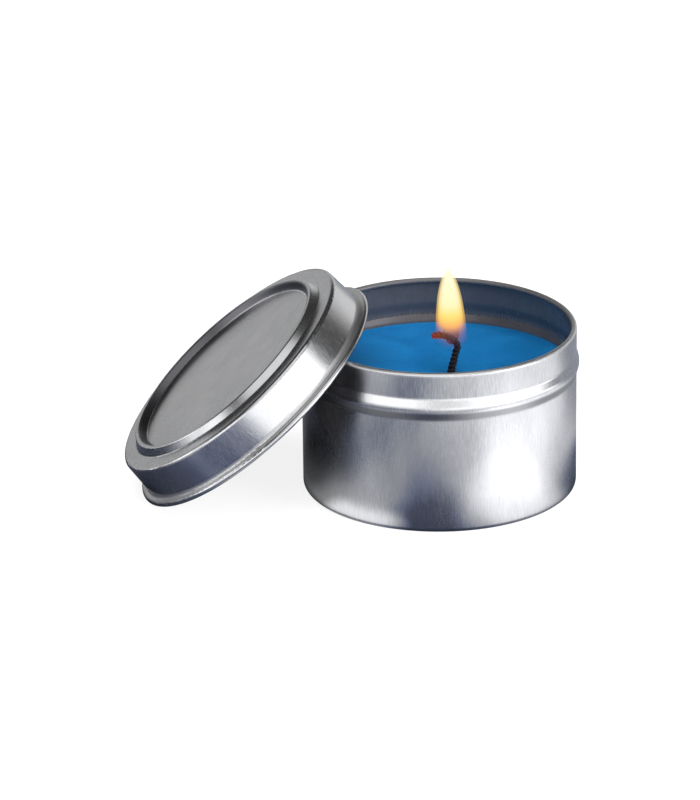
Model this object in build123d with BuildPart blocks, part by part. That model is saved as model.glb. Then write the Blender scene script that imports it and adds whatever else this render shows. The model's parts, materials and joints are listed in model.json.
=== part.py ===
"""Candle tin: a drawn tinplate tin of wax with its wick, and the slip-on lid leaning on the rim."""

from build123d import *
import os
from math import cos, radians, sin

os.makedirs("parts", exist_ok=True)

# Every size is in millimetres. The origin is the middle of the tin's base on the table, with +Z up
# and the lid leaning on the -X side.

SHEET = 0.23                    # tinplate, the same on tin and lid
FIT_GAP = 0.02                  # between pieces that lie against each other inside the tin

# Tin: one drawn shell with a rolled wire edge round the mouth and a bead that stops the lid.
TIN_RADIUS = 32.5
TIN_HEIGHT = 39.65
RIM_ROLL_RADIUS = 0.68
RIM_ROLL_SWEEP = 285            # degrees of roll, so that the raw edge is tucked against the wall
BEAD_HEIGHT = 30.7
BEAD_WIDTH = 5.0
BEAD_PROUD = 0.75
BEAD_ROOT_RADIUS = 2.5
BEAD_CREST_RADIUS = 3.0
BASE_CORNER_RADIUS = 1.1
BASE_RECESS = 0.6
BASE_RECESS_RADIUS = 27.0
BASE_STEP_WIDTH = 1.2           # the slope between the foot ring and the recessed base
BASE_STEP_RADIUS = 0.6

# Lid: recessed centre panel inside a raised ring, a skirt with a little draft and a rolled hem.
LID_HEIGHT = 10.3               # hem to shoulder
LID_TOP_RADIUS = 32.95
LID_MOUTH_RADIUS = 33.45        # outside of the skirt just above the hem
LID_SHOULDER_RADIUS = 0.9
RING_INNER_RADIUS = 25.4
RING_CREST_RADIUS = 27.0
RING_CREST_WIDTH = 1.0
RING_OUTER_RADIUS = 28.7
RING_PROUD = 1.8
RING_BEND_RADIUS = 0.5
RING_FOOT_RADIUS = 0.6
HEM_RADIUS = 35.35
HEM_ROLL_RADIUS = 0.7
HEM_ROLL_SWEEP = 280
HEM_FLARE_RADIUS = 0.5
LEAN_ANGLE = 40.45              # between the leaning lid and the table
LEAN_OFFSET = 43.4              # from the tin's axis out to the middle of the lid's mouth

# Candle: poured wax, and the braided wick held down by a tab on an adhesive dot.
WAX_HEIGHT = 27.5
WAX_EDGE_CLIMB = 0.5
WAX_EDGE_WIDTH = 1.5            # the band by the wall where the wax climbs
WAX_EDGE_RADIUS = 3.0
WAX_DISH = 0.35
WAX_STEP_WIDTH = 1.4            # follows the step in the base
WAX_STEP_RADIUS = 0.3
DOT_RADIUS = 6.5
DOT_THICKNESS = 0.8
TAB_RADIUS = 7.5
TAB_THICKNESS = 0.3
TAB_RIM_TURN = 0.8              # height of the turned-up edge
NECK_RADIUS = 1.15
NECK_HEIGHT = 4.0
WICK_RADIUS = 0.72
WICK_X = 1.0                    # the tab sits a little off the middle
WICK_STRAIGHT = 1.5             # above the neck, before it starts to lean
WICK_SURFACE_X = 2.65           # where it comes out of the wax
WICK_BEND = (4.15, 6.9)         # X and height above the wax of the corner where it turns over
WICK_CURL = (1.3, 9.2)
WICK_TIP = (-1.8, 9.25)
WICK_BEND_RADII = [8.0, 8.0, 1.3, 4.0]


# ---------------------------------------------------------------- tin body
bead_low = BEAD_HEIGHT - BEAD_WIDTH / 2
bead_high = BEAD_HEIGHT + BEAD_WIDTH / 2
roll_middle = (TIN_RADIUS - RIM_ROLL_RADIUS, TIN_HEIGHT - RIM_ROLL_RADIUS)

with BuildPart() as tin_body:
    with BuildSketch(Plane.XZ):
        with BuildLine():
            FilletPolyline(
                (0, BASE_RECESS),
                (BASE_RECESS_RADIUS, BASE_RECESS),
                (BASE_RECESS_RADIUS + BASE_STEP_WIDTH, 0),
                (TIN_RADIUS, 0),
                (TIN_RADIUS, bead_low),
                (TIN_RADIUS + BEAD_PROUD, BEAD_HEIGHT),
                (TIN_RADIUS, bead_high),
                (TIN_RADIUS, roll_middle[1]),
                radius=[
                    BASE_STEP_RADIUS,
                    BASE_STEP_RADIUS,
                    BASE_CORNER_RADIUS,
                    BEAD_ROOT_RADIUS,
                    BEAD_CREST_RADIUS,
                    BEAD_ROOT_RADIUS,
                ],
            )
            CenterArc(roll_middle, RIM_ROLL_RADIUS, 0, RIM_ROLL_SWEEP)
            offset(amount=SHEET, side=Side.RIGHT)
        make_face()
    revolve(axis=Axis.Z)

tin_body.part.label = "tin_body"
export_step(tin_body.part, "parts/tin_body.step")


# ---------------------------------------------------------------- lid
# The lid's own axis points out through its top, and the hem's lowest point rests on the table.
lean = radians(LEAN_ANGLE)
hem_middle_radius = HEM_RADIUS - HEM_ROLL_RADIUS
mouth_height = hem_middle_radius * sin(lean) + HEM_ROLL_RADIUS * (1 - cos(lean))
mouth_middle = Vector(-LEAN_OFFSET, 0, mouth_height)
lid_axis = Axis(mouth_middle, (-sin(lean), 0, cos(lean)))
lid_section = Plane(origin=mouth_middle, x_dir=(-cos(lean), 0, -sin(lean)), z_dir=(0, 1, 0))

with BuildPart() as lid:
    with BuildSketch(lid_section):
        with BuildLine():
            FilletPolyline(
                (0, LID_HEIGHT),
                (RING_INNER_RADIUS, LID_HEIGHT),
                (RING_CREST_RADIUS - RING_CREST_WIDTH / 2, LID_HEIGHT + RING_PROUD),
                (RING_CREST_RADIUS + RING_CREST_WIDTH / 2, LID_HEIGHT + RING_PROUD),
                (RING_OUTER_RADIUS, LID_HEIGHT),
                (LID_TOP_RADIUS, LID_HEIGHT),
                (LID_MOUTH_RADIUS, 2 * HEM_ROLL_RADIUS),
                (hem_middle_radius, 2 * HEM_ROLL_RADIUS),
                radius=[
                    RING_BEND_RADIUS,
                    RING_BEND_RADIUS,
                    RING_BEND_RADIUS,
                    RING_FOOT_RADIUS,
                    LID_SHOULDER_RADIUS,
                    HEM_FLARE_RADIUS,
                ],
            )
            CenterArc((hem_middle_radius, HEM_ROLL_RADIUS), HEM_ROLL_RADIUS, 90, -HEM_ROLL_SWEEP)
            offset(amount=SHEET, side=Side.RIGHT)
        make_face()
    revolve(axis=lid_axis)

lid.part.label = "lid"
export_step(lid.part, "parts/lid.step")


# ---------------------------------------------------------------- wick assembly
floor_height = BASE_RECESS + SHEET
tab_height = floor_height + DOT_THICKNESS

with BuildPart() as wick_sticker:
    with BuildSketch(Plane.XY.offset(floor_height)):
        with Locations((WICK_X, 0)):
            Circle(DOT_RADIUS)
    extrude(amount=DOT_THICKNESS)

wick_sticker.part.label = "wick_sticker"
export_step(wick_sticker.part, "parts/wick_sticker.step")

# Round tab with a turned-up edge and a neck crimped round the wick.
tab_section = Plane(origin=(WICK_X, 0, tab_height), x_dir=(1, 0, 0), z_dir=(0, -1, 0))
with BuildPart() as wick_sustainer:
    with BuildSketch(tab_section) as tab_profile:
        with BuildLine():
            Polyline(
                (WICK_RADIUS, NECK_HEIGHT),
                (WICK_RADIUS, 0),
                (TAB_RADIUS, 0),
                (TAB_RADIUS, TAB_RIM_TURN),
                (TAB_RADIUS - TAB_THICKNESS, TAB_RIM_TURN),
                (TAB_RADIUS - TAB_THICKNESS, TAB_THICKNESS),
                (NECK_RADIUS, TAB_THICKNESS),
                (NECK_RADIUS, NECK_HEIGHT),
                close=True,
            )
        make_face()
        fillet(tab_profile.vertices().group_by(Axis.X)[-1], TAB_THICKNESS / 3)
    revolve(axis=Axis((WICK_X, 0, 0), (0, 0, 1)))

wick_sustainer.part.label = "wick_sustainer"
export_step(wick_sustainer.part, "parts/wick_sustainer.step")

# The wick stands up through the wax, leans a little and curls over where it burns.
with BuildPart() as wick:
    with BuildLine():
        FilletPolyline(
            (WICK_X, 0, tab_height),
            (WICK_X, 0, tab_height + NECK_HEIGHT + WICK_STRAIGHT),
            (WICK_SURFACE_X, 0, WAX_HEIGHT),
            *[(x, 0, WAX_HEIGHT + height) for x, height in (WICK_BEND, WICK_CURL, WICK_TIP)],
            radius=WICK_BEND_RADII,
        )
    with BuildSketch(Plane.XY.offset(tab_height)):
        with Locations((WICK_X, 0)):
            Circle(WICK_RADIUS)
    sweep()

wick.part.label = "wick"
export_step(wick.part, "parts/wick.step")


# ---------------------------------------------------------------- wax
# Poured round the tab and the wick: it fills the tin and climbs a little where it meets the wall.
wax_radius = TIN_RADIUS - SHEET - FIT_GAP
wax_floor = floor_height + FIT_GAP
with BuildPart() as wax:
    with BuildSketch(Plane.XZ):
        with BuildLine():
            top = ThreePointArc(
                (0, WAX_HEIGHT - WAX_DISH),
                (wax_radius / 2, WAX_HEIGHT - WAX_DISH / 4),
                (wax_radius - WAX_EDGE_WIDTH, WAX_HEIGHT),
            )
            RadiusArc(top @ 1, (wax_radius, WAX_HEIGHT + WAX_EDGE_CLIMB), -WAX_EDGE_RADIUS)
            FilletPolyline(
                (wax_radius, WAX_HEIGHT + WAX_EDGE_CLIMB),
                (wax_radius, SHEET + FIT_GAP),
                (BASE_RECESS_RADIUS + WAX_STEP_WIDTH, SHEET + FIT_GAP),
                (BASE_RECESS_RADIUS, wax_floor),
                (0, wax_floor),
                radius=[BASE_CORNER_RADIUS, WAX_STEP_RADIUS, WAX_STEP_RADIUS],
            )
            Line((0, wax_floor), top @ 0)
        make_face()
    revolve(axis=Axis.Z)
    add(wick_sticker.part, mode=Mode.SUBTRACT)
    add(wick_sustainer.part, mode=Mode.SUBTRACT)
    add(wick.part, mode=Mode.SUBTRACT)

wax.part.label = "wax"
export_step(wax.part, "parts/wax.step")
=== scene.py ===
"""Looks of the candle tin: brushed tinplate, blue wax, a charred braided wick and its flame."""

import json
import math

import bmesh
import bpy
import numpy as np
from mathutils import Matrix, Vector, noise


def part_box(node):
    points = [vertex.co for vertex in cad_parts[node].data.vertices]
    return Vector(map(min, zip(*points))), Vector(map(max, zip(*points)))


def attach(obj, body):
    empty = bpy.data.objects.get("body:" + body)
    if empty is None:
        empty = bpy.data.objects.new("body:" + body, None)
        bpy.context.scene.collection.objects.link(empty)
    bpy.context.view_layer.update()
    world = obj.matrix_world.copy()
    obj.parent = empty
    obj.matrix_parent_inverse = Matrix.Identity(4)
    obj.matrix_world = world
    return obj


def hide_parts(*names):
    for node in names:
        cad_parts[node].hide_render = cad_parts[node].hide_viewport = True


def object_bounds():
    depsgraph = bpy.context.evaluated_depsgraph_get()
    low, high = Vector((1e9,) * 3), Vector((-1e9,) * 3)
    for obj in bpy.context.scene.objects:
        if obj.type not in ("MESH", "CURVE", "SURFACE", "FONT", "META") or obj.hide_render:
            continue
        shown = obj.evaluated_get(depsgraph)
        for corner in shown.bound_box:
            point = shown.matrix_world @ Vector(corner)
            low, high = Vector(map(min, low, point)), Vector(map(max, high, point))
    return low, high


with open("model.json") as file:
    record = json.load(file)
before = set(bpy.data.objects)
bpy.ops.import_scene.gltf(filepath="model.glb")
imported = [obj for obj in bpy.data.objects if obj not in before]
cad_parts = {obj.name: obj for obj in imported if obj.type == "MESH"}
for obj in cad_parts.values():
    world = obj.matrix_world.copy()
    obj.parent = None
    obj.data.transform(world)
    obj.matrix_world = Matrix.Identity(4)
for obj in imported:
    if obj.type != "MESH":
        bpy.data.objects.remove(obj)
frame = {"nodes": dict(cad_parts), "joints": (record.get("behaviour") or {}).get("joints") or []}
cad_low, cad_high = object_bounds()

MM = 0.001
UP = Vector((0, 0, 1))

# Camera: a long lens, looking a little down and a little across the row
LENS = 225.0
SENSOR = 36.0
CAMERA_DISTANCE = 1.1834
CAMERA_PITCH = math.radians(21.6)
CAMERA_HEADING = math.radians(3.83)
CAMERA_ROLL = math.radians(0.675)
AIM_OFFSET = Vector((-0.35, 0, -4.5)) * MM

# Wick, which stands on the sustainer and curls over to a glowing tip
WICK_ROUTE = [
    Vector(p) * MM
    for p in (
        (1.0, 0, 1.4), (1.0, 0, 6.5), (1.35, 0, 14.0), (2.1, 0, 22.0), (2.95, 0, 28.0),
        (3.9, 0, 32.1), (4.35, 0, 34.0), (3.5, 0, 35.6), (1.6, 0, 36.65), (-0.3, 0, 36.9), (-1.8, 0, 36.6),
    )
]
WICK_STRANDS = 3
WICK_STEP = 0.12 * MM
STRAND_SIDES = 10
STRAND_RADIUS = 0.60 * MM
STRAND_SWELL = 0.3              # extra thickness where it leaves the wax, and how far that reaches
STRAND_SWELL_REACH = 2.5 * MM
STRAND_TIP = 0.45               # thickness left at the tip, and how far back it narrows
STRAND_TIP_REACH = 1.1 * MM
BRAID_SIDE = 0.42 * MM
BRAID_DEPTH = 0.22 * MM
BRAID_PITCH = 3.2 * MM
CHAR_ROUGHNESS = 0.07 * MM
CHAR_GRAIN = 0.45 * MM

# Flame, which stands over the bend of the wick: nested layers, each smaller than the one outside it
FLAME_FOOT = Vector((3.3, 2.2, 32.0)) * MM
FLAME_TIP = Vector((2.4, 2.2, 53.0)) * MM
FLAME_RADIUS = 3.75 * MM
FLAME_LAYERS = 6
FLAME_SIDES = 40
FLAME_RINGS = 44
CORE_GIRTH = 0.38               # of the outermost layer's
CORE_FOOT_RISE = 0.10           # of the flame's height
CORE_TIP_DROP = 0.16

# Wax: it climbs where it meets the wall and dishes round the wick
WAX_SIDES = 128
WAX_TOP_RINGS = 60
WAX_CLIMB = 0.5 * MM
WAX_CLIMB_REACH = 0.7 * MM
WAX_DISH = 0.35 * MM
WAX_DISH_REACH = 7 * MM
WAX_RIPPLE = 0.05 * MM
WAX_CORNER = 1.5 * MM

# The lid along its own axis: from its mouth up to the middle of its box, and up to its top sheet.
# The tin is open at its top, so all that faces inwards, at any height, is its inside.
LID_MOUTH_TO_MIDDLE = 3.7 * MM
LID_INSIDE_DEPTH = 10.2 * MM
TIN_INSIDE_DEPTH = 60 * MM

# Bands round the tinplate, each from and to in mm and how much it covers. The crease bands and the
# edge bands are measured along the part's own axis, and the top-sheet crease bands out from it, on the
# top sheet alone. The crease bands are painted shade: darker colour where shade falls in the creases.
# The edge bands roughen the rolled edges, as handling does, and lighten them as a painted highlight.
TIN_BANDS = {"crease_shade": [(27.6, 30.3, 0.62)], "top_ring_shade": [], "edges": [(38.5, 41.0, 1.0)]}
LID_BANDS = {
    "crease_shade": [(1.3, 2.5, 0.3)],
    "top_ring_shade": [(25.2, 26.9, 0.85), (28.5, 28.9, 0.6)],
    "edges": [(0.9, 2.3, 1.0)],
}

# Noise on the tinplate, in cells per metre: twice across the part's axis, then along it. The hairlines
# are long cells turned askew.
GRAIN = (5200, 5200, 420)
SPECKLE = (6500, 6500, 6500)
MOTTLE = (190, 190, 60)
CLOUD = (55, 55, 55)
HAIRLINES = (2600, 45, 45)
HAIRLINE_TURN = (0.5, 0.35, 0.8)
RELIEF = 0.006 * MM

# Patches of light and shade that only the metal mirrors, on the table: middle and radius in mm, strength
TABLE_LIGHTS = [((70, -56, 0), 42, 0.75), ((31, -42, 0), 26, 0.95), ((100, -8, 0), 34, 0.4)]
TABLE_SHADES = [
    ((-4, -40, 0), 20, 0.95), ((-14, -60, 0), 15, 0.45), ((-30, -62, 0), 24, 0.3), ((-72, -22, 0), 25, 0.85),
    ((-67, -62, 0), 19, 0.85), ((-58, -105, 0), 28, 0.8), ((-40, -150, 0), 38, 0.6),
    ((-88, 22, 0), 56, 0.9), ((-50, 9, 0), 22, 0.7), ((30, 6, 0), 22, 0.9),
]
FOOT_LIGHT = ((-26, -27, 0), 14, 1.0)     # cut to a crescent that hugs the tin's foot
NAVY = (0.68, 0.84, 1.45)                 # the cast of the dark in front of the tin and to its right

# Softboxes in the mirrored studio: azimuth and elevation of the middle, half-width (degrees), strength.
# Azimuth 0 is the camera's side and 90 its right.
SOFTBOXES = [(60, 8, 18, 3.0), (-93, 4, 15, 2.2), (5, 56, 34, 1.1)]
STUDIO_FRONT = 1.95
STUDIO_FRONT_MIDDLE = 0.58                # share of that straight ahead, where the camera stands
STUDIO_REAR = (0.47, 0.95)                # left and right
STUDIO_DARK = 0.045
BACKGROUND = 0.95

# Lamps that light the wax and the table: azimuth, elevation, distance, size (m), power (W)
LAMPS = {"key_lamp": (58, 30, 0.8, (0.5, 0.4), 6.0), "top_lamp": (-20, 78, 1.0, (0.8, 0.8), 13.0)}


# Node helpers


class Nodes:
    """Short ways to add and join the nodes of one tree."""

    def __init__(self, tree):
        self.tree = tree
        tree.nodes.clear()

    def add(self, kind, inputs=None, **settings):
        node = self.tree.nodes.new("ShaderNode" + kind)
        for name, value in settings.items():
            setattr(node, name, value)
        for socket, value in (inputs or {}).items():
            self.put(node.inputs[socket], value)
        return node

    def put(self, socket, value):
        if isinstance(value, bpy.types.NodeSocket):
            self.tree.links.new(value, socket)
        else:
            socket.default_value = value

    def maths(self, operation, a, b=0.0, clamp=False):
        return self.add("Math", {0: a, 1: b}, operation=operation, use_clamp=clamp).outputs[0]

    def sum(self, a, b):
        return self.maths("ADD", a, b)

    def product(self, a, b):
        return self.maths("MULTIPLY", a, b)

    def vector(self, operation, a, b):
        return self.add("VectorMath", {0: a, 1: b}, operation=operation).outputs[0]

    def measure(self, operation, a, b=(0, 0, 0)):
        """One number from vectors: LENGTH, DISTANCE or DOT_PRODUCT."""
        return self.add("VectorMath", {0: a, 1: b}, operation=operation).outputs["Value"]

    def noise(self, vector, detail=2.0, distortion=0.0):
        inputs = {"Vector": vector, "Scale": 1.0, "Detail": detail, "Distortion": distortion}
        return self.add("TexNoise", inputs).outputs["Fac"]

    def span(self, value, low, high, to_low=0.0, to_high=1.0):
        """value from low..high to to_low..to_high, smoothly and held at both ends."""
        inputs = {"Value": value, "From Min": low, "From Max": high, "To Min": to_low, "To Max": to_high}
        return self.add("MapRange", inputs, interpolation_type="SMOOTHSTEP").outputs[0]

    def band(self, value, low, high, share):
        """share between low and high, with soft edges, and 0 elsewhere."""
        edge = 0.3 * (high - low)
        rise = self.span(value, low, low + edge, 0.0, share)
        return self.product(rise, self.span(value, high, high - edge))

    def patch(self, place, centre, radius, outside, inside):
        """A soft round patch on the table; centre and radius are in mm."""
        away = self.measure("DISTANCE", place, Vector(centre) * MM)
        return self.span(away, 1.25 * radius * MM, 0.55 * radius * MM, outside, inside)

    def ramp(self, value, stops):
        node = self.add("ValToRGB", {"Fac": value})
        elements = node.color_ramp.elements
        while len(elements) < len(stops):
            elements.new(0.5)
        for element, (position, colour) in zip(elements, stops):
            element.position = position
            element.color = (*colour, 1.0)
        return node.outputs[0]

    def blend(self, share, a, b):
        node = self.add("Mix", data_type="RGBA")
        for socket, value in zip((node.inputs[0], node.inputs[6], node.inputs[7]), (share, a, b)):
            self.put(socket, value)
        return node.outputs[2]

    def bump(self, height, depth, strength=1.0, normal=None):
        inputs = {"Height": height, "Distance": depth, "Strength": strength}
        if normal is not None:
            inputs["Normal"] = normal
        return self.add("Bump", inputs).outputs[0]

    def turned(self, vector, turn):
        return self.add("Mapping", {"Vector": vector, "Rotation": turn}).outputs[0]

    def object_space(self):
        return self.add("TexCoord").outputs["Object"]

    def surface(self, **inputs):
        """Ends the tree with a Principled shader; an input's name has _ for each space."""
        named = {name.replace("_", " "): value for name, value in inputs.items()}
        self.finish(self.add("BsdfPrincipled", named).outputs[0])

    def finish(self, shader):
        self.add("OutputMaterial", {"Surface": shader})


def new_material(name):
    material = bpy.data.materials.new(name)
    material.use_nodes = True
    return material, Nodes(material.node_tree)


def rgb(red, green, blue):
    return (red, green, blue, 1.0)


# Materials


def from_axis(n, foot, axis):
    """Distance along an axis from its foot, and the vector out from it."""
    place = n.vector("SUBTRACT", n.object_space(), foot)
    along = n.measure("DOT_PRODUCT", place, axis)
    level = n.add("VectorMath", {0: axis, "Scale": along}, operation="SCALE").outputs[0]
    return along, n.vector("SUBTRACT", place, level)


def inner_side(n, along, out, axis, depth):
    """1 on the inside of a round shell, up to depth along its axis, and 0 elsewhere."""
    facing = n.add("NewGeometry").outputs["Normal"]
    outward = n.add("VectorMath", {0: out}, operation="NORMALIZE").outputs[0]
    radial = n.measure("DOT_PRODUCT", facing, outward)
    back = n.measure("DOT_PRODUCT", facing, axis)
    wall = n.product(n.span(radial, -0.35, -0.55), n.maths("LESS_THAN", along, depth))
    inside = n.maths("MAXIMUM", wall, n.span(back, -0.6, -0.8))
    return n.product(inside, n.maths("GREATER_THAN", along, 1.2 * MM))


def cover(n, distance, bands):
    """How far a place is covered by bands."""
    covered = 0.0
    for low, high, share in bands:
        covered = n.maths("MAXIMUM", covered, n.band(distance, low * MM, high * MM, share))
    return covered


def tinplate(name, foot, axis, depth, bands, seed):
    """Drawn tinplate: fine grain along its own axis, rolled mottle, a few hairline scratches, painted shade
    in creases and a painted highlight on rolled edges.
    """
    material, n = new_material(name)
    upright = n.turned(n.object_space(), (0, math.atan2(-axis.x, axis.z), 0))
    shifted = n.vector("ADD", upright, (seed, seed, seed))
    grain = n.noise(n.vector("MULTIPLY", shifted, GRAIN), 3.0)
    speckle = n.noise(n.vector("MULTIPLY", shifted, SPECKLE), 2.0)
    mottle = n.noise(n.vector("MULTIPLY", shifted, MOTTLE), 3.0, 0.4)
    cloud = n.noise(n.vector("MULTIPLY", shifted, CLOUD), 2.0)
    hairlines = n.noise(n.vector("MULTIPLY", n.turned(shifted, HAIRLINE_TURN), HAIRLINES), 1.0)
    scratch = n.span(hairlines, 0.70, 0.74)

    along, out = from_axis(n, foot, axis)
    # Painted shade: the crease bands, and those on the top sheet alone, mark where the colour is darkened
    top_ring_shade = cover(n, n.measure("LENGTH", out), bands["top_ring_shade"])
    top_ring_shade = n.product(top_ring_shade, n.maths("GREATER_THAN", along, depth))
    dark = n.maths("MAXIMUM", top_ring_shade, cover(n, along, bands["crease_shade"]))
    # Rolled edges: rougher from handling, and lighter in colour as a painted highlight
    wear_and_highlight = cover(n, along, bands["edges"])
    inside = inner_side(n, along, out, axis, depth)

    shade = n.sum(n.product(grain, 0.6), n.product(mottle, 0.4))
    colour = n.ramp(shade, [(0.30, (0.50, 0.505, 0.52)), (0.70, (0.65, 0.652, 0.66))])
    colour = n.blend(n.product(scratch, 0.25), colour, rgb(0.72, 0.72, 0.73))
    # Painted shade: the crease bands darken the colour
    colour = n.blend(dark, colour, rgb(0.07, 0.07, 0.08))
    # Painted highlight: the edge bands lighten the colour
    colour = n.blend(n.product(wear_and_highlight, 0.6), colour, rgb(0.76, 0.76, 0.76))
    dull = n.ramp(shade, [(0.30, (0.105, 0.10, 0.11)), (0.70, (0.155, 0.15, 0.155))])
    colour = n.blend(inside, colour, dull)

    rough = n.sum(n.span(grain, 0.25, 0.75, 0.21, 0.27), n.span(cloud, 0.3, 0.7, -0.02, 0.03))
    rough = n.sum(rough, n.product(dark, 0.15))
    rough = n.sum(rough, n.product(wear_and_highlight, 0.2))
    relief = n.bump(n.sum(grain, n.product(speckle, 0.8)), RELIEF, 0.45)
    relief = n.bump(n.product(scratch, -1.0), RELIEF, 0.5, relief)
    metallic = n.span(inside, 0.0, 1.0, 1.0, 0.6)
    n.surface(Base_Color=colour, Metallic=metallic, Roughness=rough, Normal=relief)
    return material


def blue_wax():
    """Dyed candle wax: cloudy blue, lighter where it set first, with a soft sheen."""
    material, n = new_material("blue_wax")
    place = n.object_space()
    cloud = n.noise(n.vector("MULTIPLY", place, (70, 70, 70)), 3.0, 0.6)
    fleck = n.noise(n.vector("MULTIPLY", place, (900, 900, 900)), 2.0)
    blues = [(0.28, (0.002, 0.078, 0.215)), (0.55, (0.004, 0.097, 0.255)), (0.78, (0.008, 0.12, 0.295))]
    colour = n.blend(n.span(fleck, 0.55, 0.8, 0.0, 0.25), n.ramp(cloud, blues), rgb(0.012, 0.135, 0.325))
    n.surface(
        Base_Color=colour,
        Roughness=n.sum(n.span(cloud, 0.3, 0.7, 0.42, 0.55), n.span(fleck, 0.4, 0.7, 0.0, 0.08)),
        Normal=n.bump(n.sum(cloud, n.product(fleck, 0.15)), 0.08 * MM, 0.6),
        IOR=1.40,
        Specular_IOR_Level=0.3,
        Subsurface_Weight=0.15,
        Subsurface_Radius=(0.2, 0.5, 1.0),
        Subsurface_Scale=1.5 * MM,
    )
    return material


def charred_wick():
    """Braided cotton: waxed white in the candle, black above it, glowing red along the curl."""
    material, n = new_material("charred_wick")
    place = n.object_space()
    across, _, height = n.add("SeparateXYZ", {0: place}).outputs
    ash = n.noise(n.vector("MULTIPLY", place, (3500, 3500, 3500)), 3.0)
    char = n.ramp(ash, [(0.35, (0.0015, 0.0015, 0.003)), (0.75, (0.02, 0.014, 0.012))])
    burnt = n.span(height, 26.6 * MM, 27.6 * MM)
    towards_tip = n.span(across, 3.2 * MM, -1.8 * MM)
    reds = [(0.0, (0.07, 0.013, 0.003)), (0.55, (0.17, 0.036, 0.008)), (1.0, (0.26, 0.022, 0.012))]
    curl = n.product(n.span(height, 34.3 * MM, 35.8 * MM), n.span(across, 3.9 * MM, 0.6 * MM))
    glow = n.product(curl, n.span(ash, 0.25, 0.7, 0.55, 1.1))
    n.surface(
        Base_Color=n.blend(burnt, rgb(0.62, 0.66, 0.66), char),
        Roughness=0.85,
        Normal=n.bump(ash, 0.05 * MM, 0.8),
        Emission_Color=n.blend(glow, rgb(0, 0, 0), n.ramp(towards_tip, reds)),
        Emission_Strength=1.0,
    )
    return material


def flame_gas(name, depth):
    """One see-through layer of the flame; depth runs from 0 at the outside to 1 at the core."""
    material, n = new_material(name)
    height = n.add("SeparateXYZ", {0: n.object_space()}).outputs[2]
    rise = n.add("MapRange", {"Value": height, "From Min": FLAME_FOOT.z, "From Max": FLAME_TIP.z}).outputs[0]
    edge = [
        (0.0, (0.03, 0.02, 0.12)), (0.14, (0.24, 0.09, 0.20)), (0.25, (0.50, 0.22, 0.24)),
        (0.34, (0.95, 0.42, 0.12)), (0.44, (1.0, 0.60, 0.12)), (0.60, (1.0, 0.72, 0.22)),
        (1.0, (1.0, 0.86, 0.45)),
    ]
    core = [
        (0.0, (0.05, 0.04, 0.16)), (0.14, (0.30, 0.14, 0.24)), (0.25, (0.60, 0.30, 0.26)),
        (0.34, (1.0, 0.50, 0.16)), (0.46, (1.0, 0.82, 0.28)), (0.57, (1.0, 1.0, 0.80)),
        (1.0, (1.0, 1.0, 0.97)),
    ]
    thin, thick = 0.06, 0.28 + 0.55 * depth
    foot = n.span(rise, 0.0, 0.16, 0.0, thin)
    body = n.span(rise, 0.22, 0.42, 0.0, thick - thin)
    n.surface(
        Base_Color=rgb(0, 0, 0),
        Roughness=1.0,
        Specular_IOR_Level=0.0,
        Emission_Color=n.blend(math.sqrt(depth), n.ramp(rise, edge), n.ramp(rise, core)),
        Emission_Strength=1.15,
        Alpha=n.maths("ADD", foot, body, clamp=True),
    )
    return material


def plated_steel():
    material, n = new_material("plated_steel")
    grain = n.noise(n.vector("MULTIPLY", n.object_space(), (4000, 500, 4000)), 2.0)
    n.surface(
        Base_Color=n.ramp(grain, [(0.3, (0.50, 0.49, 0.46)), (0.7, (0.68, 0.66, 0.62))]),
        Metallic=1.0,
        Roughness=n.span(grain, 0.3, 0.7, 0.25, 0.4),
        Normal=n.bump(grain, 0.01 * MM, 0.5),
    )
    return material


def white_foam():
    material, n = new_material("white_foam")
    cells = n.add("TexVoronoi", {"Vector": n.object_space(), "Scale": 3200.0}).outputs["Distance"]
    n.surface(
        Base_Color=n.ramp(cells, [(0.1, (0.55, 0.54, 0.50)), (0.6, (0.80, 0.79, 0.75))]),
        Roughness=0.9,
        Normal=n.bump(cells, 0.08 * MM, 0.7),
    )
    return material


def clothe(node, material):
    """Gives a CAD node its material."""
    mesh = frame["nodes"][node].data
    mesh.materials.clear()
    mesh.materials.append(material)


# Pieces


def mesh_object(name, vertices, faces, materials):
    mesh = bpy.data.meshes.new(name)
    mesh.from_pydata(vertices, [], faces)
    for material in materials:
        mesh.materials.append(material)
    mesh.polygons.foreach_set("use_smooth", [True] * len(mesh.polygons))
    piece = bpy.data.objects.new(name, mesh)
    bpy.context.collection.objects.link(piece)
    return piece


def ring_faces(rings, sides, start=0):
    """Quads between neighbouring rings of vertices, all the way round."""
    faces = []
    for i in range(rings - 1):
        for j in range(sides):
            a, b = start + i * sides + j, start + i * sides + (j + 1) % sides
            faces.append((a, b, b + sides, a + sides))
    return faces


def angles(sides):
    return [2 * math.pi * j / sides for j in range(sides)]


def level_ring(centre, radius, sides):
    return [centre + Vector((math.cos(a), math.sin(a), 0)) * radius for a in angles(sides)]


def smooth_route(points, step):
    """Evenly spaced places along a smooth line through the points, with their directions."""
    points = [points[0] * 2 - points[1], *points, points[-1] * 2 - points[-2]]
    dense = []
    for a, b, c, d in zip(points, points[1:], points[2:], points[3:]):
        bend = 2 * a - 5 * b + 4 * c - d
        twist = 3 * b - a - 3 * c + d
        for t in np.linspace(0, 1, 24, endpoint=False):
            dense.append(0.5 * (2 * b + (c - a) * t + bend * t**2 + twist * t**3))
    dense.append(points[-2])
    dense = np.array(dense)
    along = np.concatenate([[0], np.cumsum(np.linalg.norm(np.diff(dense, axis=0), axis=1))])
    places = np.arange(0, along[-1], step)
    line = np.stack([np.interp(places, along, dense[:, k]) for k in range(3)], axis=1)
    direction = np.gradient(line, axis=0)
    direction /= np.linalg.norm(direction, axis=1)[:, None]
    return places, line, direction


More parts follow.
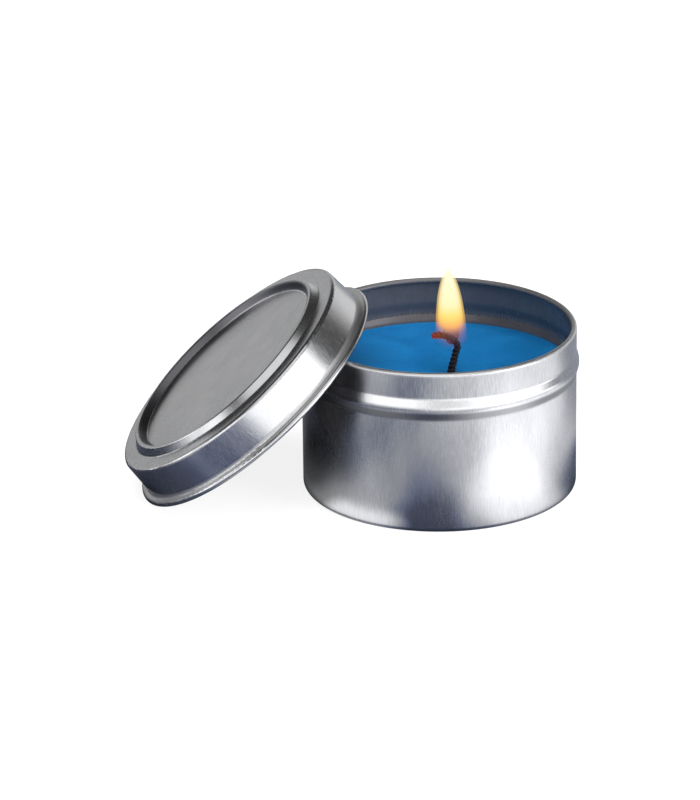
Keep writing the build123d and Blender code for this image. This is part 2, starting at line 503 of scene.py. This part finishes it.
def make_wick():
    """Three cotton strands braided along the wick's route, shrunk and pitted where they burnt."""
    places, line, direction = smooth_route(WICK_ROUTE, WICK_STEP)
    side = np.array([0.0, 1.0, 0.0])
    wax_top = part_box("wax")[1].z
    vertices, faces = [], []
    for strand_phase in angles(WICK_STRANDS):
        start = len(vertices)
        for s, centre, forward in zip(places, line, direction):
            out = np.cross(forward, side)
            turn = 2 * math.pi * s / BRAID_PITCH + strand_phase
            middle = centre + side * BRAID_SIDE * math.sin(turn) + out * BRAID_DEPTH * math.sin(2 * turn)
            girth = min(1.0, STRAND_TIP + (places[-1] - s) / STRAND_TIP_REACH)
            girth *= 1 + STRAND_SWELL * math.exp(-abs(centre[2] - wax_top) / STRAND_SWELL_REACH)
            for angle in angles(STRAND_SIDES):
                spoke = side * math.cos(angle) + out * math.sin(angle)
                place = Vector(middle + spoke * STRAND_RADIUS)
                pit = noise.noise(place / CHAR_GRAIN) if centre[2] > wax_top else 0.0
                vertices.append(middle + spoke * (STRAND_RADIUS * girth + CHAR_ROUGHNESS * pit))
        faces += ring_faces(len(places), STRAND_SIDES, start)
        faces.append(tuple(reversed(range(start, start + STRAND_SIDES))))
        faces.append(tuple(range(len(vertices) - STRAND_SIDES, len(vertices))))
    wick = mesh_object("braided_wick", vertices, faces, [charred_wick()])
    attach(wick, "tin")
    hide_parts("wick")


def flame_radius(t):
    """The flame's outline from its foot, t = 0, to its tip, t = 1."""
    body = math.sqrt(1 - t * t) * (1 - 0.35 * t**8)
    rounded_foot = math.sqrt(1 - (1 - min(t / 0.2, 1.0)) ** 2)
    return FLAME_RADIUS * body * rounded_foot


def make_flame():
    """A still candle flame: nested layers of glowing gas, each a closed drop."""
    vertices, faces, layer_of_face, gases = [], [], [], []
    for layer in range(FLAME_LAYERS):
        depth = layer / (FLAME_LAYERS - 1)
        foot = FLAME_FOOT.lerp(FLAME_TIP, CORE_FOOT_RISE * depth)
        tip = FLAME_TIP.lerp(FLAME_FOOT, CORE_TIP_DROP * depth)
        girth = 1.0 + (CORE_GIRTH - 1.0) * depth
        start = len(vertices)
        for i in range(FLAME_RINGS):
            t = 0.5 - 0.5 * math.cos(math.pi * (i + 0.5) / FLAME_RINGS)
            vertices += level_ring(foot.lerp(tip, t), flame_radius(t) * girth, FLAME_SIDES)
        last = len(vertices) - FLAME_SIDES
        bottom, top = len(vertices), len(vertices) + 1
        vertices += [foot, tip]
        faces += ring_faces(FLAME_RINGS, FLAME_SIDES, start)
        for j in range(FLAME_SIDES):
            k = (j + 1) % FLAME_SIDES
            faces.append((bottom, start + k, start + j))
            faces.append((top, last + j, last + k))
        layer_of_face += [layer] * (len(faces) - len(layer_of_face))
        gases.append(flame_gas(f"flame_gas_{layer}", depth))
    flame = mesh_object("flame", vertices, faces, gases)
    flame.data.polygons.foreach_set("material_index", layer_of_face)
    flame.visible_shadow = False
    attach(flame, "tin")


def wax_height(place, rim):
    """Height of the wax above its level: drawn up the wall, dished round the wick, faintly uneven."""
    from_wall = rim - place.length
    climb = WAX_CLIMB * math.exp(-from_wall / WAX_CLIMB_REACH)
    dish = -WAX_DISH * math.exp(-((place.length / WAX_DISH_REACH) ** 2))
    ripple = WAX_RIPPLE * (noise.noise(place / (6 * MM)) + 0.4 * noise.noise(place / (2 * MM)))
    return climb + dish + ripple * min(1.0, from_wall / (2 * MM))


def make_wax():
    """The candle itself: one closed body of wax with an uneven, hand-poured top."""
    low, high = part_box("wax")
    rim = (high.x - low.x) / 2
    level = high.z - WAX_CLIMB
    vertices = []
    for t in np.linspace(0.02, 1, WAX_TOP_RINGS):
        for place in level_ring(Vector(), rim * (1 - (1 - t) ** 1.6), WAX_SIDES):
            vertices.append(place + UP * (level + wax_height(place, rim)))
    for radius, z in ((rim, level - 3 * MM), (rim, low.z + WAX_CORNER), (rim - WAX_CORNER, low.z)):
        vertices += level_ring(UP * z, radius, WAX_SIDES)
    rings = len(vertices) // WAX_SIDES
    faces = [tuple(reversed(face)) for face in ring_faces(rings, WAX_SIDES)]
    faces.append(tuple(range(WAX_SIDES)))
    faces.append(tuple(reversed(range(len(vertices) - WAX_SIDES, len(vertices)))))
    wax = mesh_object("wax_fill", vertices, faces, [blue_wax()])
    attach(wax, "tin")
    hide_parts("wax")


# Studio


def seen_table(n):
    """The table for the camera: bright and almost even, with soft shadows."""
    glow = n.add("Emission", {"Color": rgb(0.85, 0.85, 0.85), "Strength": 1.0})
    matt = n.add("BsdfDiffuse", {"Color": rgb(0.25, 0.25, 0.25)})
    return n.add("AddShader", {0: glow.outputs[0], 1: matt.outputs[0]}).outputs[0]


def mirrored_table(n):
    """The table for the metal and the wax: darker, with patches of light and shade."""
    place = n.object_space()
    reach = n.measure("LENGTH", place)
    across, away, _ = n.add("SeparateXYZ", {0: place}).outputs
    # Lighter to the right and in front, and darkest behind the lid
    table = n.product(n.span(across, 0.0, 60 * MM, 0.54, 0.78), n.span(away, -5 * MM, 50 * MM, 1.0, 0.4))
    behind = n.product(n.span(across, -60 * MM, -110 * MM), n.span(away, -50 * MM, 0.0))
    table = n.product(table, n.span(behind, 0.0, 1.0, 1.0, 0.12))
    # Bright again farther off, in front and to the right
    sweep = n.product(n.span(reach, 150 * MM, 205 * MM, 0.0, 1.3), n.span(across, -120 * MM, -40 * MM))
    table = n.sum(table, n.product(sweep, n.span(away, 60 * MM, 0.0)))
    for centre, radius, strength in TABLE_SHADES:
        table = n.product(table, n.patch(place, centre, radius, 1.0, 1.0 - strength))
    open_air = n.add("AmbientOcclusion", {"Distance": 25 * MM}, samples=4).outputs["AO"]
    glow = n.product(open_air, table)
    # Lights: the far left of the table, the patches, and the crescent at the tin's foot
    glow = n.sum(glow, n.span(across, -260 * MM, -380 * MM, 0.0, 1.6))
    for centre, radius, strength in TABLE_LIGHTS:
        glow = n.sum(glow, n.patch(place, centre, radius, 0.0, strength))
    centre, radius, strength = FOOT_LIGHT
    crescent = n.product(n.patch(place, centre, radius, 0.0, strength), n.span(reach, 45 * MM, 38 * MM))
    glow = n.sum(glow, crescent)
    # The shade where the tin stands
    glow = n.product(glow, n.span(reach, 33.2 * MM, 35.4 * MM, 0.25, 1.0))
    navy = n.maths("MAXIMUM", n.span(away, -10 * MM, -45 * MM), n.span(across, 20 * MM, 50 * MM))
    navy = n.product(navy, n.span(glow, 0.40, 0.05))
    shine = n.add("Emission", {"Color": n.blend(navy, rgb(1, 1, 1), rgb(*NAVY)), "Strength": glow})
    matt = n.add("BsdfDiffuse", {"Color": rgb(0.022, 0.027, 0.045)})
    return n.add("AddShader", {0: shine.outputs[0], 1: matt.outputs[0]}).outputs[0]


def make_floor():
    """A wide pale table, which the metal mirrors darker than the camera sees it."""
    bm = bmesh.new()
    bmesh.ops.create_grid(bm, x_segments=8, y_segments=8, size=4.0)
    mesh = bpy.data.meshes.new("studio_floor")
    bm.to_mesh(mesh)
    bm.free()
    floor = bpy.data.objects.new("studio_floor", mesh)
    bpy.context.collection.objects.link(floor)
    material, n = new_material("studio_floor")
    by_camera = n.add("LightPath").outputs["Is Camera Ray"]
    n.finish(n.add("MixShader", {0: by_camera, 1: mirrored_table(n), 2: seen_table(n)}).outputs[0])
    mesh.materials.append(material)


def heading(azimuth, elevation):
    """The direction from the object to a light; azimuth 0 is on the camera's side, 90 to its right."""
    a, e = math.radians(azimuth), math.radians(elevation)
    return Vector((math.sin(a) * math.cos(e), -math.cos(a) * math.cos(e), math.sin(e)))


def make_lamp(name, azimuth, elevation, distance, size, watts):
    """A rectangular lamp aimed at the object. It lights wax and table but isn't mirrored."""
    light = bpy.data.lights.new(name, "AREA")
    light.shape = "RECTANGLE"
    light.size, light.size_y = size
    light.energy = watts
    lamp = bpy.data.objects.new(name, light)
    towards = heading(azimuth, elevation)
    lamp.location = (cad_low + cad_high) / 2 + towards * distance
    lamp.rotation_euler = towards.to_track_quat("Z", "Y").to_euler()
    lamp.visible_camera = False
    lamp.visible_glossy = False
    bpy.context.collection.objects.link(lamp)


def make_world():
    """Pale all round for the camera; for light and mirrors a dark studio with bright walls and softboxes."""
    world = bpy.data.worlds.new("studio")
    world.use_nodes = True
    bpy.context.scene.world = world
    n = Nodes(world.node_tree)
    direction = n.add("TexCoord").outputs["Generated"]
    across, away, up = n.add("SeparateXYZ", {0: direction}).outputs
    front = n.product(n.span(away, 0.25, -0.35, 0.0, STUDIO_FRONT), n.span(across, -0.98, -0.86))
    off_middle = n.maths("ABSOLUTE", across)
    front = n.product(front, n.span(off_middle, 0.12, 0.42, STUDIO_FRONT_MIDDLE, 1.0))
    rear = n.product(n.span(away, 0.10, 0.45), n.span(across, -0.4, 0.7, *STUDIO_REAR))
    walls = n.product(n.span(up, 0.42, 0.27), n.sum(front, rear))
    grey = n.sum(walls, STUDIO_DARK)
    for azimuth, elevation, spread, strength in SOFTBOXES:
        nearness = n.measure("DOT_PRODUCT", direction, heading(azimuth, elevation))
        inner, outer = (math.cos(math.radians(spread * share)) for share in (0.8, 1.2))
        grey = n.sum(grey, n.span(nearness, outer, inner, 0.0, strength))
    by_camera = n.add("LightPath").outputs["Is Camera Ray"]
    colour = n.blend(by_camera, grey, rgb(BACKGROUND, BACKGROUND, BACKGROUND))
    n.add("OutputWorld", {"Surface": n.add("Background", {"Color": colour, "Strength": 1.0}).outputs[0]})


def make_camera():
    data = bpy.data.cameras.new("camera")
    data.lens = LENS
    data.sensor_width = SENSOR
    data.clip_start, data.clip_end = 0.05, 20.0
    camera = bpy.data.objects.new("camera", data)
    bpy.context.collection.objects.link(camera)
    level = Vector((math.sin(CAMERA_HEADING), math.cos(CAMERA_HEADING), 0))
    forward = level * math.cos(CAMERA_PITCH) - UP * math.sin(CAMERA_PITCH)
    right = forward.cross(UP).normalized()
    up = right.cross(forward)
    rolled_up = up * math.cos(CAMERA_ROLL) + right * math.sin(CAMERA_ROLL)
    rolled_right = right * math.cos(CAMERA_ROLL) - up * math.sin(CAMERA_ROLL)
    aim = (cad_low + cad_high) / 2 + AIM_OFFSET
    turn = Matrix((rolled_right, rolled_up, -forward)).transposed().to_4x4()
    camera.matrix_world = Matrix.Translation(aim - forward * CAMERA_DISTANCE) @ turn
    bpy.context.scene.camera = camera


lid_axis = Vector(frame["joints"][0]["axis"])
lid_low, lid_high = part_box("lid")
lid_mouth = (lid_low + lid_high) / 2 - lid_axis * LID_MOUTH_TO_MIDDLE
clothe("tin_body", tinplate("tin_body_tinplate", Vector(), UP, TIN_INSIDE_DEPTH, TIN_BANDS, 0.0))
clothe("lid", tinplate("lid_tinplate", lid_mouth, lid_axis, LID_INSIDE_DEPTH, LID_BANDS, 0.37))
clothe("wick_sustainer", plated_steel())
clothe("wick_sticker", white_foam())
make_wax()
make_wick()
make_flame()

make_floor()
make_world()
for name, settings in LAMPS.items():
    make_lamp(name, *settings)
make_camera()
bpy.context.scene.view_settings.view_transform = "Standard"
